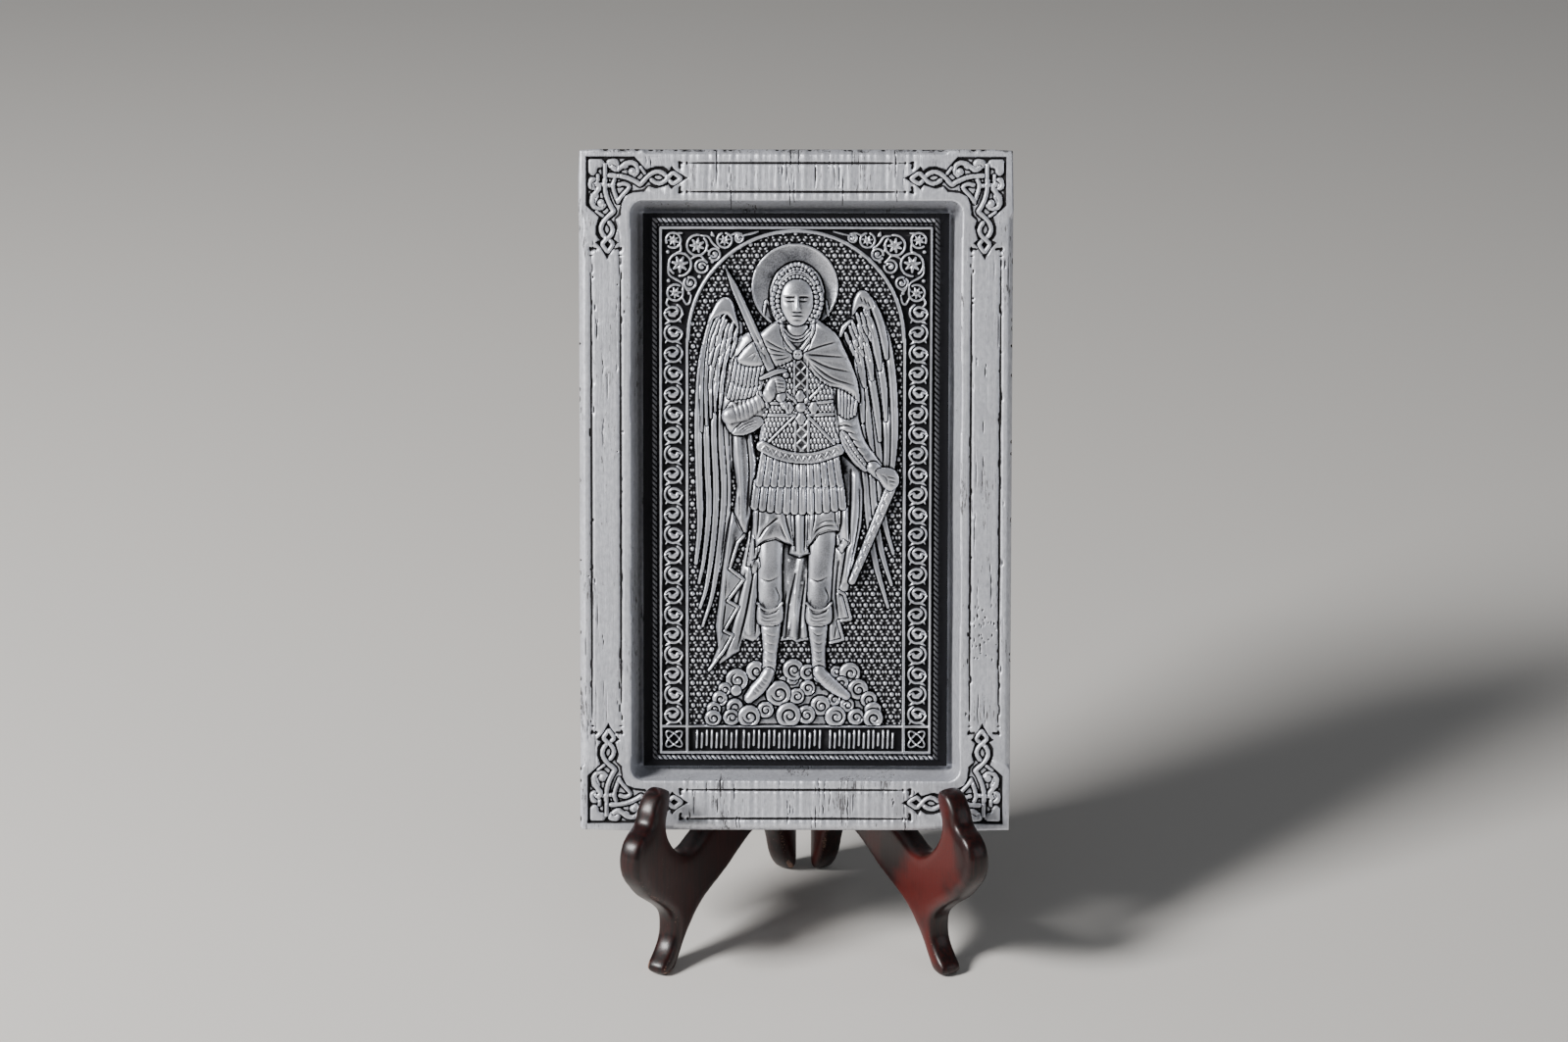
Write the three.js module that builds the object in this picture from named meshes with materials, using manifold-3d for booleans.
// A silvered icon panel leaning on a small folding wooden stand. Millimetres, +Z up, the front faces -Y.
//
// The panel is a carved board with a sunk window, and a cast relief plaque lies in the window.
// The stand is two flat carved wings, joined at the back by two butt hinges, that open like a book.
// The panel stands in the notches of the wings and leans back on their rests.
//
// Everything on the panel is drawn in the panel's own plane: x across, z up from its bottom edge,
// and a height h that rises from a face towards the viewer.
import * as THREE from 'three';
import { mergeVertices } from 'three/addons/utils/BufferGeometryUtils.js';
import Module from 'manifold-3d';

const wasm = await Module();
wasm.setup();

// Where touching pieces keep clear of each other.
const CLEARANCE = 0.3;

// The board.
const PANEL_WIDTH = 126;
const PANEL_HEIGHT = 199;
const PANEL_THICKNESS = 20;
const RAIL = 15;
const COVE = 3;
const WINDOW_DEPTH = 9.5;
const WINDOW_CORNER = 0.8;
const EDGE_CHAMFER = 1.6;
const CHAMFER_STOP = 17.5;
const AXIS_OF_RAIL = 8;
const LINE_SPREAD = 4.4;
const LINE_WIDTH = 0.6;
const LINE_DEPTH = 0.5;
const LINE_START = 30;
const KNOT_DEPTH = 0.8;
const KNOT_STRAND = 1.35;

// The plaque. Its ground lies GROUND_DEPTH behind the front of the board.
const GROUND_DEPTH = 7;
const PLAQUE_HALF = PANEL_WIDTH / 2 - RAIL - COVE - CLEARANCE;
const PLAQUE_LOW = RAIL + COVE + CLEARANCE;
const PLAQUE_HIGH = PANEL_HEIGHT - RAIL - COVE - CLEARANCE;
const ROPE = { half: 42.2, low: 20.6, high: 178.7, width: 1.1, height: 1.5 };
const OUTER_LINE = { half: 39.5, low: 22.4, high: 176.4, width: 0.5, height: 1.4 };
const INNER_LINE = { half: 31.8, sill: 30.1, width: 0.5, height: 1.3 };
const ARCH = { spring: 144, radius: 31.5, width: 0.65, height: 1.5 };
const VINE = { x: 35.7, first: 34, pitch: 5.88, count: 22, radius: 2.25, width: 0.55, height: 0.9 };

// The stand. u runs from the hinge axis along a wing, w across its thickness from the closed face.
const LEAN = THREE.MathUtils.degToRad(17);
const WING_ANGLE = THREE.MathUtils.degToRad(28.2);
const WING_THICKNESS = 7.6;
const WING_FACE = 0.9;
const WING_BACK = 0.8;
const WING_TOP = 146;
const WING_EDGE = 1;
const STAND_X = 2.6;
const STAND_Y = 36.75;

// Where the panel's lower back edge sits, seen from the foot of the hinge axis.
const SEAT_Y = -45.4;
const SEAT_Z = 38.7;

// A point of a list that is asked for beyond its ends is the end itself.
const at = (list, i) => list[THREE.MathUtils.clamp(i, 0, list.length - 1)];
const asRule = (value) => (typeof value === 'function' ? value : () => value);

// A smooth line through a few points, sampled in equal steps of its parameter.
function smooth(points, steps) {
  const curve = new THREE.CatmullRomCurve3(points.map(([x, z]) => new THREE.Vector3(x, z, 0)));
  return curve.getPoints(steps).map((p) => [p.x, p.y]);
}

function arc([x, z], radius, from, to, steps) {
  const points = [];
  for (let i = 0; i <= steps; i += 1) {
    const turn = THREE.MathUtils.degToRad(from + ((to - from) * i) / steps);
    points.push([x + radius * Math.cos(turn), z + radius * Math.sin(turn)]);
  }
  return points;
}

const mirrored = (points) => points.map(([x, z]) => [-x, z]);

function signedVolume(position, index) {
  const [a, b, c] = [new THREE.Vector3(), new THREE.Vector3(), new THREE.Vector3()];
  let volume = 0;
  for (let i = 0; i < index.length; i += 3) {
    a.fromBufferAttribute(position, index[i]);
    b.fromBufferAttribute(position, index[i + 1]);
    c.fromBufferAttribute(position, index[i + 2]);
    volume += a.dot(b.cross(c)) / 6;
  }
  return volume;
}

// A geometry as a closed solid whose faces point outwards.
function toSolid(geometry) {
  const bare = geometry.clone();
  bare.deleteAttribute('normal');
  bare.deleteAttribute('uv');
  const merged = mergeVertices(bare, 1e-4);
  const index = Uint32Array.from(merged.index.array);
  if (signedVolume(merged.attributes.position, index) < 0) index.reverse();
  return new wasm.Manifold(new wasm.Mesh({
    numProp: 3,
    vertProperties: Float32Array.from(merged.attributes.position.array),
    triVerts: index,
  }));
}

function toGeometry(solid) {
  const mesh = solid.getMesh();
  const geometry = new THREE.BufferGeometry();
  geometry.setAttribute('position', new THREE.BufferAttribute(Float32Array.from(mesh.vertProperties), 3));
  geometry.setIndex(new THREE.BufferAttribute(Uint32Array.from(mesh.triVerts), 1));
  geometry.computeVertexNormals();
  return geometry;
}

const joined = (solids) => solids.reduce((whole, solid) => whole.add(solid));

const outline = (points) => new THREE.Shape(points.map(([x, z]) => new THREE.Vector2(x, z)));

// A flat outline raised from height low to height high, with a chamfer of the given size round its top.
function raised(points, low, high, chamfer = 0) {
  return new THREE.ExtrudeGeometry(outline(points), {
    depth: high - low - 2 * chamfer,
    bevelEnabled: chamfer > 0,
    bevelThickness: chamfer,
    bevelSize: chamfer,
    bevelOffset: -chamfer,
    bevelSegments: 1,
    curveSegments: 4,
  }).translate(0, 0, low + chamfer);
}

const box = (x0, x1, z0, z1, low, high) => new THREE.BoxGeometry(x1 - x0, z1 - z0, high - low)
  .translate((x0 + x1) / 2, (z0 + z1) / 2, (low + high) / 2);

// A rib's flanks start a little below the ground and its root lies deeper.
const FLANK = -0.2;
const ROOT = -0.8;

// A rib along a path. Width and height are half its width and its crest, as numbers or as rules of the
// share of the way along it.
function ridge(path, width, height, facets = 2) {
  const widthAt = asRule(width);
  const heightAt = asRule(height);
  const ringSize = facets + 2;
  const positions = [];
  path.forEach(([x, z], i) => {
    const [before, after] = [at(path, i - 1), at(path, i + 1)];
    const along = new THREE.Vector2(after[0] - before[0], after[1] - before[1]).normalize();
    const share = i / (path.length - 1);
    for (let k = 0; k <= facets; k += 1) {
      const turn = (Math.PI * k) / facets;
      const side = -widthAt(share) * Math.cos(turn);
      const rise = FLANK + (heightAt(share) - FLANK) * Math.sin(turn);
      positions.push(x - along.y * side, z + along.x * side, rise);
    }
    positions.push(x, z, ROOT);
  });
  const index = [];
  for (let i = 0; i < path.length - 1; i += 1) {
    for (let k = 0; k < ringSize; k += 1) {
      const a = i * ringSize + k;
      const b = i * ringSize + ((k + 1) % ringSize);
      index.push(a, b, b + ringSize, a, b + ringSize, a + ringSize);
    }
  }
  const lastRing = (path.length - 1) * ringSize;
  for (let k = 1; k < ringSize - 1; k += 1) {
    index.push(0, k + 1, k, lastRing, lastRing + k, lastRing + k + 1);
  }
  const geometry = new THREE.BufferGeometry();
  geometry.setAttribute('position', new THREE.Float32BufferAttribute(positions, 3));
  geometry.setIndex(index);
  return geometry;
}

// A round boss.
const dome = ([x, z], radius, height, sides = 6) => new THREE.SphereGeometry(1, sides, 4)
  .rotateX(Math.PI / 2)
  .scale(radius, radius, height)
  .translate(x, z, 0);

const bulge = (thick, thin) => (share) => thin + (thick - thin) * Math.sin(Math.PI * share);
const taper = (from, to) => (share) => from + (to - from) * share;

// The board

// The chamfers on the front edges, which stop short of the board's corners.
function edgeCutters() {
  const halves = [PANEL_WIDTH / 2, PANEL_HEIGHT / 2];
  const outside = EDGE_CHAMFER * (Math.SQRT2 - 1);
  return [0, 1, 2, 3].map((side) => {
    const reach = halves[(side + 1) % 2];
    const length = 2 * halves[side % 2] - 2 * CHAMFER_STOP;
    return toSolid(new THREE.BoxGeometry(length, 2 * EDGE_CHAMFER, 2 * EDGE_CHAMFER)
      .rotateX(Math.PI / 4)
      .translate(0, reach + outside, outside)
      .rotateZ((side * Math.PI) / 2)
      .translate(0, PANEL_HEIGHT / 2, 0));
  });
}

function roundedWindow(half, low, high, radius) {
  return [
    ...arc([half - radius, low + radius], radius, -90, 0, 3),
    ...arc([half - radius, high - radius], radius, 0, 90, 3),
    ...arc([-half + radius, high - radius], radius, 90, 180, 3),
    ...arc([-half + radius, low + radius], radius, 180, 270, 3),
  ];
}

// Two incised lines along each rail.
function incisedLines() {
  const solids = [];
  const low = -LINE_DEPTH;
  const high = 1;
  const half = LINE_WIDTH / 2;
  const across = PANEL_WIDTH / 2 - LINE_START;
  for (const rail of [AXIS_OF_RAIL, PANEL_HEIGHT - AXIS_OF_RAIL]) {
    for (const side of [-1, 1]) {
      const z = rail + side * LINE_SPREAD;
      solids.push(box(-across, across, z - half, z + half, low, high));
    }
  }
  for (const edge of [-1, 1]) {
    for (const side of [-1, 1]) {
      const x = edge * (PANEL_WIDTH / 2 - AXIS_OF_RAIL) + side * LINE_SPREAD;
      solids.push(box(x - half, x + half, LINE_START, PANEL_HEIGHT - LINE_START, low, high));
    }
  }
  return solids.map(toSolid);
}

// The knot of one corner, in distances from the corner's two edges. It is the same on both sides of the
// diagonal, so half of it is drawn and then turned over.
const turnedOver = (points) => points.map(([a, b]) => [b, a]);

const KNOT_FIELD_HALF = [
  [2, 2], [16, 2.1], [18.9, 5.2], [22.8, 5], [26.2, 6.4], [27.2, 4.8], [31.6, 8.1],
  [27.2, 11.4], [26.2, 9.8], [22.8, 11.2], [19, 10.4], [14.6, 13.4],
];

// The strands: the arrowhead and the two halves of the oval behind it, the scalloped edge that ends in a
// curl, and one side of the heart.
const KNOT_STRANDS_HALF = [
  [[30, 8.1], [28, 6.6], [22.8, 10.2], [17.6, 9.6]],
  [[30, 8.1], [28, 9.7], [22.8, 6.1], [19, 8.2], [8.4, 7.2]],
  [[16.2, 6.8], [16.4, 4.4], [12.8, 5.4], [10, 3.7], [7.4, 5.2], [4.8, 4.8]],
  [[10.2, 10.2], [14.8, 11.1], [13.8, 13.8]],
];

function knotSolid([flipX, flipZ]) {
  const place = (points) => points.map(([a, b]) => [
    flipX * (PANEL_WIDTH / 2 - a),
    flipZ > 0 ? PANEL_HEIGHT - b : b,
  ]);
  const field = [...KNOT_FIELD_HALF, ...turnedOver(KNOT_FIELD_HALF).reverse().slice(0, -1)];
  const cutter = toSolid(raised(place(field), -KNOT_DEPTH, 1));
  const halves = KNOT_STRANDS_HALF.flatMap((strand) => [strand, turnedOver(strand)]);
  const strands = halves.map((strand) => (
    toSolid(ridge(place(strand), KNOT_STRAND / 2, KNOT_DEPTH).translate(0, 0, -KNOT_DEPTH))));
  return { cutter, strands: joined(strands) };
}

function boardSolid() {
  const half = PANEL_WIDTH / 2;
  let board = toSolid(box(-half, half, 0, PANEL_HEIGHT, -PANEL_THICKNESS, 0));
  for (const cutter of edgeCutters()) board = board.subtract(cutter);
  const mouth = roundedWindow(half - RAIL, RAIL, PANEL_HEIGHT - RAIL, WINDOW_CORNER + COVE);
  const cove = new THREE.ExtrudeGeometry(outline(mouth), {
    depth: 4, bevelThickness: COVE, bevelSize: COVE, bevelOffset: -COVE, bevelSegments: 2,
  });
  const well = roundedWindow(half - RAIL - COVE, RAIL + COVE, PANEL_HEIGHT - RAIL - COVE, WINDOW_CORNER);
  board = board.subtract(toSolid(cove)).subtract(toSolid(raised(well, -WINDOW_DEPTH, 1)));
  board = board.subtract(joined(incisedLines()));
  for (const corner of [[-1, -1], [1, -1], [1, 1], [-1, 1]]) {
    const { cutter, strands } = knotSolid(corner);
    board = board.subtract(cutter).add(strands);
  }
  return board;
}

// The plaque's frame of lines, vines and arch

function lineFrame({ half, low, high, width, height }) {
  return [
    ridge([[-half, low - width], [-half, high + width]], width, height),
    ridge([[half, low - width], [half, high + width]], width, height),
    ridge([[-half - width, low], [half + width, low]], width, height),
    ridge([[-half - width, high], [half + width, high]], width, height),
  ];
}

function innerFrame() {
  const { half, sill, width, height } = INNER_LINE;
  return [
    ridge([[-half, OUTER_LINE.low], [-half, ARCH.spring]], width, height),
    ridge([[half, OUTER_LINE.low], [half, ARCH.spring]], width, height),
    ridge([[-OUTER_LINE.half, sill], [OUTER_LINE.half, sill]], width, height),
    ridge(arc([0, ARCH.spring], ARCH.radius, 0, 180, 16), ARCH.width, ARCH.height),
  ];
}

const leaf = ([x, z], radius) => new THREE.ConeGeometry(radius, 1 + VINE.height, 3)
  .rotateX(Math.PI / 2)
  .translate(x, z, (VINE.height - 1) / 2);

// The vine runs as one winding stem up each side.
function vineBorder() {
  const parts = [];
  for (const side of [-1, 1]) {
    const stem = [];
    for (let i = 0; i < VINE.count; i += 1) {
      const z = VINE.first + VINE.pitch * i;
      const swing = i % 2 ? VINE.radius : -VINE.radius;
      stem.push([side * (VINE.x + swing), z - VINE.radius], [side * (VINE.x + swing), z + VINE.radius]);
    }
    parts.push(ridge(stem, VINE.width, VINE.height));
  }
  return parts;
}

// The scrolls and buds that fill the corner above the arch: centre and radius.
const SCROLLS = [[34.8, 165.4, 3.6], [29.4, 171.2, 3.2], [21.8, 173, 2.5]];
const BUDS = [
  [36.4, 172.6, 2], [31.6, 160.4, 1.7], [28, 165.2, 1.6],
  [24.8, 168.8, 1.3], [17.2, 173.8, 1.2], [35.4, 158, 1.6],
];

function spandrels() {
  const parts = [];
  for (const side of [-1, 1]) {
    for (const [x, z, radius] of SCROLLS) {
      const turn = arc([side * x, z], radius, 90, 90 + side * 300, 5);
      parts.push(ridge(turn, VINE.width, VINE.height), leaf([side * x, z], radius * 0.6));
    }
    for (const [x, z, radius] of BUDS) parts.push(leaf([side * x, z], radius));
  }
  return parts;
}

// A row of short upright strokes on the sill, in three groups.
const STROKES = { from: -28.4, to: 28.4, low: 24.2, high: 28.2, count: 18 };

function inscription() {
  const { from, to, low, high, count } = STROKES;
  const parts = [];
  for (let i = 0; i <= count; i += 1) {
    const x = from + ((to - from) * i) / count;
    if (i % 5 !== 2) parts.push(ridge([[x, low], [x, high - (i % 3) * 0.4]], 0.5, 0.7));
  }
  return parts;
}

// The figure

const halo = () => [raised(arc([-0.4, 159.3], 12.7, 0, 337.5, 15), -0.5, 1.1, 0.3)];

// Long feathers run down the wing and flare out at their tips. The numbers are the outermost feather's
// line and how far each next one lies inside it.
const FEATHER = { count: 5, step: 2.15, tipDrop: 6.4 };
const FEATHER_LINE = [[21.5, 153], [27.4, 141], [28.8, 115], [27.2, 92], [29, 77.5]];

function featherLine(k) {
  return FEATHER_LINE.map(([x, z], i) => {
    const share = i / (FEATHER_LINE.length - 1);
    const flare = share === 1 ? 0.35 : Math.min(1, 0.45 + share);
    const inward = k * FEATHER.step * flare;
    return [x - inward, z - k * FEATHER.tipDrop * share * share];
  });
}

function angelWing(side) {
  const across = (points) => (side < 0 ? mirrored(points) : points);
  const bed = [
    [19, 157.5], [22.8, 153.5], [27.2, 144], [28.4, 120], [26.8, 90],
    [20, 86], [14, 110], [13, 140], [15.5, 151],
  ];
  const parts = [raised(across(bed), -0.5, 1.2)];
  for (let k = 0; k < FEATHER.count; k += 1) {
    parts.push(ridge(across(featherLine(k)), bulge(1.15, 0.35), bulge(2.3, 0.8)));
  }
  for (let k = 0; k < 3; k += 1) {
    const inward = 1.8 * k;
    const covert = [
      [20.6 - inward, 155.6 - 1.6 * k], [22.4 - inward, 147 - 3 * k], [22.6 - inward, 139 - 4 * k],
    ];
    parts.push(ridge(across(covert), bulge(1.35, 0.4), bulge(2.6, 1)));
  }
  return parts;
}

// The cloak falls behind the legs in three lengths.
function cloak() {
  const left = [
    [-20.4, 118], [-13.5, 118], [-11.5, 105], [-12.5, 92], [-10, 84], [-9, 58], [-13, 55.3], [-16.5, 55],
    [-15, 52.5], [-24, 47.8], [-26.6, 46.8], [-23.4, 54], [-23.3, 62], [-22, 74], [-20, 85], [-18.4, 95],
    [-19.2, 108],
  ];
  const middle = [[-4, 86], [4, 86], [4, 55.3], [0, 55], [-4.4, 55.8]];
  const right = [
    [12, 110], [20, 108], [20, 92], [16.6, 82], [15.2, 70], [17, 62.4], [13.4, 62], [14.6, 56],
    [10.4, 55], [10, 84],
  ];
  const folds = [
    [[-18.6, 116], [-17.4, 102], [-15.6, 88.5]],
    [[-14.6, 114], [-13.4, 100], [-13.2, 92]],
    [[-17, 95], [-20.2, 84], [-21.2, 66], [-22.6, 56], [-25.4, 48]],
    [[-16.2, 86], [-18, 77], [-17, 66], [-19.8, 56], [-21.6, 50.6]],
    [[-13.6, 77], [-16.4, 66], [-17.2, 56.4]],
    [[-1.6, 84], [-3.2, 70], [-3.4, 56.4]],
    [[2.8, 82], [1, 68], [0.4, 56.4]],
    [[15, 107], [16.4, 96], [14.6, 84]],
    [[18.2, 106], [18.8, 94], [16, 82]],
    [[13.6, 82], [13.4, 71], [15.8, 63.4]],
  ];
  return [
    raised(left, -0.5, 1.3),
    raised(middle, -0.5, 0.9),
    raised(right, -0.5, 1.1),
    ...folds.map((fold) => ridge(fold, bulge(1.3, 0.5), 2)),
  ];
}

// A leg in its boot: half widths and crests are listed from the hip down to the ankle.
function leg(side) {
  const x = side < 0 ? -7.6 : 7.4;
  const toe = side < 0 ? [[-8.2, 47], [-10.6, 42.6], [-14.2, 38.8]] : [[7, 46.6], [10.4, 42.6], [15.4, 39]];
  const line = [[x, 92], [x, 82], [x * 0.95, 67], [x * 0.9, 58], [x * 0.98, 47], [x, 44]];
  const girth = [4.1, 3.9, 3.1, 3.5, 2.1, 2];
  const along = (list) => (share) => at(list, Math.round(share * (list.length - 1)));
  return [
    ridge(line, along(girth), along([3.2, 3.3, 2.9, 3, 2.4, 2.2]), 3),
    ridge(smooth(toe, 3), bulge(2.2, 1.7), taper(2.6, 2.2), 3),
    ridge([[x * 0.95 - 3.5, 65.4], [x * 0.95 + 3.5, 65.8]], 0.9, 3.3),
  ];
}

function tunic() {
  const hem = [
    [-11, 99], [12, 99], [15.6, 85], [13, 83.2], [11.8, 88.4], [7.6, 88.6], [4, 85.6], [3.6, 81.4],
    [-1.8, 81.6], [-0.6, 87], [-4.6, 86.6], [-10.4, 85], [-14, 80.6],
  ];
  const folds = [
    [[-8, 97], [-9.4, 91], [-12.4, 83]],
    [[-3, 97], [-5, 91], [-8.6, 86.4]],
    [[0, 97], [0.4, 90], [0.6, 82.4]],
    [[3.6, 97], [3, 90], [2.8, 83]],
    [[8, 97], [8.6, 93], [7.4, 89.6]],
    [[11.6, 97], [13, 91], [14, 85]],
  ];
  return [
    raised(hem, -0.5, 3),
    ...folds.map((fold) => ridge(fold, bulge(1, 0.5), 3.6)),
  ];
}

// Leather strips below the belt, fanning out a little.
function strips() {
  const parts = [];
  const count = 11;
  for (let k = 0; k < count; k += 1) {
    const share = k / (count - 1);
    const sag = 2.2 * Math.sin(Math.PI * share);
    const top = THREE.MathUtils.lerp(-9.4, 12, share);
    const middle = THREE.MathUtils.lerp(-11.8, 13.8, share);
    const low = THREE.MathUtils.lerp(-13, 14.6, share);
    parts.push(ridge([[top, 111.6 - sag], [middle, 102.6 - sag * 0.6], [low, 96.6 - sag * 0.6]], 0.95, 3.6));
  }
  return parts;
}

// The breastplate, its centre band and ornament, the bands across it, and the belt.
function torso() {
  const chest = [[-9.4, 137], [-9, 126], [-10.2, 113], [12.6, 113], [11.6, 126], [10, 138]];
  const belt = arc([1.2, 156], 46.6, -103.4, -76, 5);
  return [
    raised(chest, -0.5, 2.8, 0.8),
    ridge(belt, 1.6, 3.9, 3),
    ridge([[1.6, 137], [1.6, 112]], 1.7, 3.7),
    ridge([[-8.6, 123.8], [10.8, 123.8]], 1.2, 3.2),
    dome([2.4, 125], 3, 4),
    ridge([[1.2, 121.6], [-8.4, 114]], 0.8, 3.1),
    ridge([[2.4, 121.6], [11, 114]], 0.8, 3.1),
  ];
}

// The short cape, drawn together at the brooch.
function cape() {
  const mantle = [
    [-6, 149], [5, 149.4], [9.6, 147], [13, 143.6], [16, 137], [18.4, 131], [19.2, 125.6], [15.6, 128.6],
    [10, 131], [5.4, 133.6], [1.6, 138], [-3, 137.4], [-9.4, 136.8], [-12, 141], [-10.6, 146],
  ];
  const folds = [
    [[2.4, 140], [8, 141], [13, 141.6]],
    [[2.6, 139.4], [9, 137.6], [15.4, 135.6]],
    [[2.4, 138.8], [8.6, 134.6], [17.4, 129.6]],
    [[-0.6, 140.6], [-5, 141.4], [-10, 143.4]],
    [[-0.8, 139.8], [-5, 139], [-9.8, 138.6]],
    [[1.6, 141.8], [5, 144.6], [9, 146.6]],
  ];
  return [
    raised(mantle, -0.5, 3),
    ...folds.map((fold) => ridge(fold, bulge(1.1, 0.5), 3.9)),
    ridge(arc([0.2, 148.5], 5.4, 200, 340, 4), 0.7, 4.1),
    dome([0.8, 140.4], 1.5, 4.8),
  ];
}

function arms() {
  const raisedUpper = [[-12.6, 141.6], [-15, 135], [-17.8, 127], [-18, 120.4]];
  const raisedLower = [[-19.6, 119.4], [-15.4, 122.4], [-10.6, 126.6], [-8, 129.6]];
  const lowered = [[13.8, 129], [14.4, 121], [17.4, 113.6], [21.4, 108.4], [24.6, 105.2]];
  return [
    // The arm that lifts the sword, with two folds in its sleeve.
    ridge(raisedUpper, (share) => 4.7 - 1.1 * share * share, 3, 3),
    ridge(raisedLower, taper(3.8, 2.2), taper(3.3, 3.6), 3),
    ridge([[-18.2, 128.4], [-15.2, 136.6]], 0.8, 3.5),
    ridge([[-14.8, 129.4], [-11.8, 137.6]], 0.8, 3.5),
    dome([-6.4, 131.6], 3, 4.5),
    ridge([[-8.6, 129.6], [-4.2, 129]], 1, 4.3),
    // The arm that holds the scabbard.
    ridge(lowered, taper(3.9, 2.2), taper(3.1, 3), 3),
    dome([27.2, 103.4], 2.6, 3.7),
  ];
}

// The sword's blade, guard and grip, and the scabbard.
function sword() {
  return [
    ridge([[-20.5, 165.4], [-19.2, 162.4], [-8, 136]], (share) => Math.min(1.15, 0.2 + 2 * share), 3.4),
    ridge([[-10.4, 133.4], [-3.6, 136]], 0.7, 4),
    ridge([[-5.6, 130], [-3, 125.4]], 0.9, 3.9),
    ridge([[27, 101], [21, 87.4], [14.2, 71.6]], taper(1.5, 0.8), taper(2.8, 2.4)),
  ];
}

// The head is a plain egg with regular features, and its hair is a cap ringed with round curls.
const HEAD = { x: 0.3, z: 155, width: 4.9, height: 6.9, depth: 4.9 };

function head() {
  const { x, z, width, height, depth } = HEAD;
  const parts = [
    ridge([[x, z - 4.6], [x, 143.6]], 3.1, 3, 3),
    dome([x, z + 2.6], width * 1.65, 3.2, 8),
    new THREE.SphereGeometry(1, 8, 6).scale(width, height, depth).translate(x, z, 0),
    ridge([[x, z + 1.6], [x, z - 2]], taper(0.4, 0.9), taper(depth, depth + 0.6)),
    ridge([[x - 0.7 * width, z + 2], [x + 0.7 * width, z + 2]], 0.45, depth - 0.6),
  ];
  for (let k = 0; k <= 7; k += 1) {
    const turn = THREE.MathUtils.degToRad(-20 + 31.5 * k);
    const curl = [x + 1.32 * width * Math.cos(turn), z + 1.4 + 1.1 * height * Math.sin(turn)];
    parts.push(dome(curl, 1.4, 4.1, 4));
  }
  return parts;
}

// Puffs of cloud, heaped in rows that shorten upwards: height of the row, ends, puffs in it, and radius.
const CLOUD_ROWS = [
  { z: 33.4, from: -23.2, to: 23, count: 7, radius: 3.3 },
  { z: 38, from: -21.4, to: 21, count: 6, radius: 3 },
  { z: 42.2, from: -18.6, to: 18.6, count: 4, radius: 3.1 },
  { z: 46, from: -12.4, to: 16.4, count: 3, radius: 3 },
];

function clouds() {
  const puffs = [];
  CLOUD_ROWS.forEach(({ z, from, to, count, radius }, row) => {
    for (let k = 0; k < count; k += 1) {
      const centre = [THREE.MathUtils.lerp(from, to, k / (count - 1)), z + 0.5 * Math.sin(7 * k + row)];
      puffs.push(dome(centre, radius, 2.2 - 0.15 * row));
    }
  });
  return puffs;
}

function plaqueSolid() {
  const back = GROUND_DEPTH - WINDOW_DEPTH + CLEARANCE;
  const ground = box(-PLAQUE_HALF, PLAQUE_HALF, PLAQUE_LOW, PLAQUE_HIGH, back, 0);
  const relief = [
    ...lineFrame(ROPE), ...lineFrame(OUTER_LINE), ...innerFrame(),
    ...vineBorder(), ...spandrels(), ...inscription(),
    ...halo(), ...angelWing(-1), ...angelWing(1), ...cloak(), ...clouds(),
    ...leg(-1), ...leg(1), ...tunic(), ...strips(), ...torso(), ...cape(),
    ...arms(), ...sword(), ...head(),
  ];
  let plaque = toSolid(ground);
  for (const part of relief) plaque = plaque.add(toSolid(part));
  // The round forms reach below the flat back, and are trimmed level with it.
  const room = box(-PLAQUE_HALF, PLAQUE_HALF, PLAQUE_LOW, PLAQUE_HIGH, back, WINDOW_DEPTH);
  return plaque.intersect(toSolid(room));
}

// The stand

// A butt hinge: a leaf on each wing's closed face, knuckles round the axis, and a pin.
const HINGE = { height: 20, leaf: 12, thick: 0.5, knuckle: 1.7, bore: 1, pin: 0.7, head: 1.5, sides: 6 };
const HINGE_HEIGHTS = { lower: 42, upper: 114 };

const post = (radius, height) => new THREE.CylinderGeometry(radius, radius, height, HINGE.sides)
  .rotateX(Math.PI / 2);

// The wing's outline in (u, z): the rear foot, the arch, the front foot and leg, the belly, the lip, the
// notch that takes the panel, and the straight rest that it leans on.
function wingOutline() {
  const rest = (z) => (-SEAT_Y - (z - SEAT_Z) * Math.tan(LEAN)) / Math.cos(WING_ANGLE) - CLEARANCE;
  const arch = smooth([
    [4.6, 0], [9.2, 6.5], [12.4, 16], [19, 24.6], [31, 24.4], [46.4, 19.2], [61.4, 15],
    [70.5, 8.4], [77.6, 0],
  ], 14);
  const leg = smooth([[83, 0], [84.6, 2.8], [79, 7.4], [76.6, 13], [78.8, 19.4], [90.2, 29]], 9);
  const belly = smooth([[90.2, 29], [97.2, 37.6], [98.6, 44.6], [95.6, 50], [89.4, 52.4]], 6);
  const lip = smooth([
    [89.4, 52.4], [88, 56.4], [83.6, 60.4], [78.4, 60], [78.6, 56], [81.2, 50.4], [79.8, 44.6],
    [74.4, 37.8], [67, 34.6], [59, 36.6],
  ], 13);
  const restTop = WING_TOP - 8;
  return [
    [WING_BACK, 1.4], [WING_BACK + 1.4, 0],
    ...arch, ...leg, ...belly.slice(1), ...lip.slice(1),
    [rest(SEAT_Z) + 1.5, SEAT_Z - CLEARANCE], [rest(SEAT_Z), SEAT_Z - CLEARANCE],
    [rest(restTop), restTop], [rest(restTop) - 2.4, WING_TOP - 1],
    [WING_BACK + 5, WING_TOP], [WING_BACK, WING_TOP - 3],
  ];
}

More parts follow.
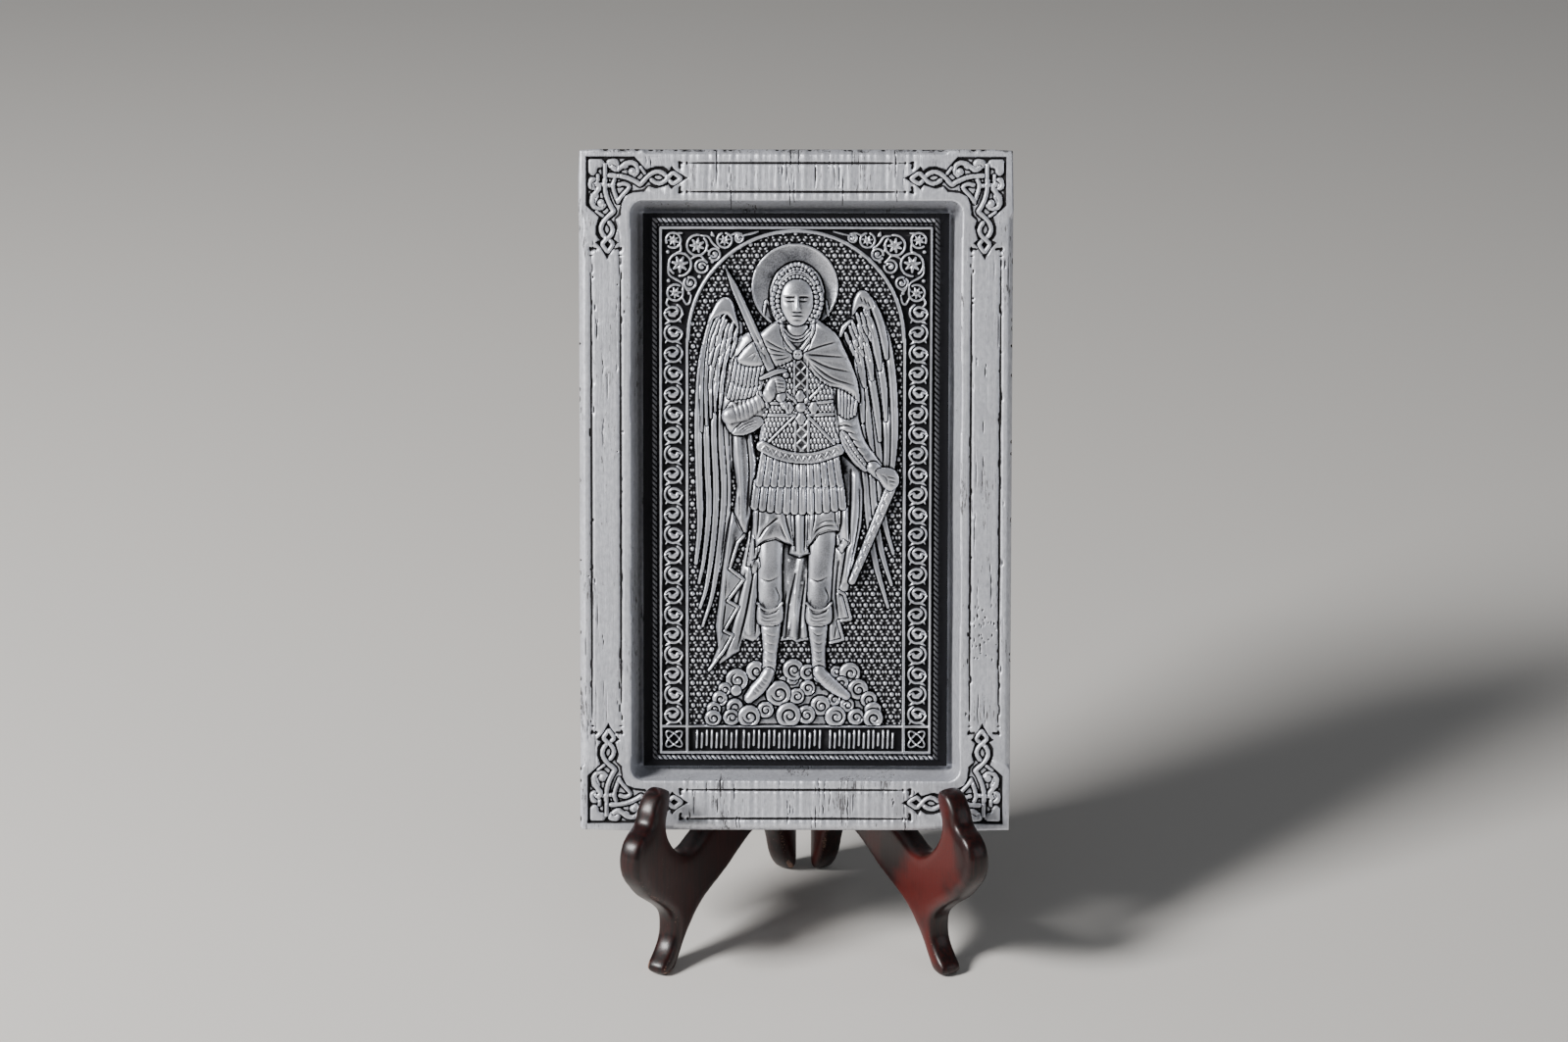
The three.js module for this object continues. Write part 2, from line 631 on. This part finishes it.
// side is 1 for the wing on the right and -1 for the one on the left. The wing is made closed, towards -Y.
function wingGeometry(side) {
  const blade = new THREE.ExtrudeGeometry(outline(wingOutline()), {
    depth: WING_THICKNESS - 2 * WING_EDGE,
    bevelThickness: WING_EDGE,
    bevelSize: WING_EDGE,
    bevelOffset: -WING_EDGE,
    bevelSegments: 1,
  }).translate(0, 0, WING_FACE + WING_EDGE);
  const closed = new THREE.Matrix4().makeBasis(
    new THREE.Vector3(0, -1, 0),
    new THREE.Vector3(0, 0, 1),
    new THREE.Vector3(side, 0, 0),
  );
  let wing = toSolid(blade.applyMatrix4(closed));
  // Room for the hinge knuckles in the back edge.
  const room = post(HINGE.knuckle + CLEARANCE, HINGE.height + 4);
  for (const height of Object.values(HINGE_HEIGHTS)) {
    wing = wing.subtract(toSolid(room.clone().translate(0, 0, height)));
  }
  return toGeometry(wing);
}

// Each share is the part of the hinge's height, from 0 to 1, that one knuckle of this leaf takes.
function leafGeometry(side, shares) {
  const { height, leaf, thick, knuckle, bore } = HINGE;
  const middle = side * (WING_FACE - CLEARANCE - thick / 2);
  const room = post(knuckle + CLEARANCE, height + 1);
  const plate = new THREE.BoxGeometry(thick, leaf, height).translate(middle, -leaf / 2 - 0.5, 0);
  let solid = toSolid(plate).subtract(toSolid(room));
  for (const [from, to] of shares) {
    const length = height * (to - from) - CLEARANCE;
    const centre = (height * (from + to - 1)) / 2;
    const barrel = post(knuckle, length).translate(0, 0, centre);
    const web = new THREE.BoxGeometry(thick, 2.4, length).translate(middle, -1.8, centre);
    solid = solid.add(toSolid(barrel).add(toSolid(web)));
  }
  return toGeometry(solid.subtract(toSolid(post(bore, height + 1))));
}

function pinGeometry() {
  const { height, pin, head } = HINGE;
  const top = height / 2 + CLEARANCE;
  const shaft = toSolid(post(pin, 2 * top + 1));
  const caps = [-1, 1].map((end) => toSolid(post(head, 0.8).translate(0, 0, end * (top + 0.4))));
  return toGeometry(shaft.add(caps[0]).add(caps[1]));
}

// Materials and the assembly

const silveredWood = new THREE.MeshStandardMaterial({ color: 0xb9bac2, roughness: 0.42, metalness: 0.6 });
const castSilver = new THREE.MeshStandardMaterial({ color: 0x9fa1a8, roughness: 0.38, metalness: 0.8 });
const redStainedWood = new THREE.MeshStandardMaterial({ color: 0x4a1712, roughness: 0.3, metalness: 0 });
const brass = new THREE.MeshStandardMaterial({ color: 0xa8823c, roughness: 0.4, metalness: 1 });

function piece(name, geometry, material) {
  const mesh = new THREE.Mesh(geometry, material);
  mesh.name = name;
  return mesh;
}

// Turns a drawing, in x, z and height, into the panel's own frame: x across, z up, the front towards -y.
const upright = (solid, behind) => toGeometry(solid).rotateX(Math.PI / 2).translate(0, behind, 0);

const panel = new THREE.Group();
panel.add(piece('frame_board', upright(boardSolid(), 0), silveredWood));
panel.add(piece('relief_plaque', upright(plaqueSolid(), GROUND_DEPTH), castSilver));
// The board's lower back edge is what stands in the notches.
panel.rotation.x = -LEAN;
panel.position.set(
  0,
  STAND_Y + SEAT_Y - PANEL_THICKNESS * Math.cos(LEAN) - CLEARANCE,
  SEAT_Z + PANEL_THICKNESS * Math.sin(LEAN),
);

const stand = new THREE.Group();
stand.position.set(STAND_X, STAND_Y, 0);
for (const [name, side, shares] of [['left', -1, [[0, 0.3], [0.7, 1]]], ['right', 1, [[0.3, 0.7]]]]) {
  const half = new THREE.Group();
  half.rotation.z = side * WING_ANGLE;
  half.add(piece(`${name}_wing`, wingGeometry(side), redStainedWood));
  for (const [height, z] of Object.entries(HINGE_HEIGHTS)) {
    const leaf = piece(`${height}_hinge_${name}_leaf`, leafGeometry(side, shares), brass);
    leaf.position.z = z;
    half.add(leaf);
  }
  stand.add(half);
}
for (const [height, z] of Object.entries(HINGE_HEIGHTS)) {
  const pin = piece(`${height}_hinge_pin`, pinGeometry(), brass);
  pin.position.z = z;
  stand.add(pin);
}

const icon = new THREE.Group();
icon.add(panel, stand);

export default icon;
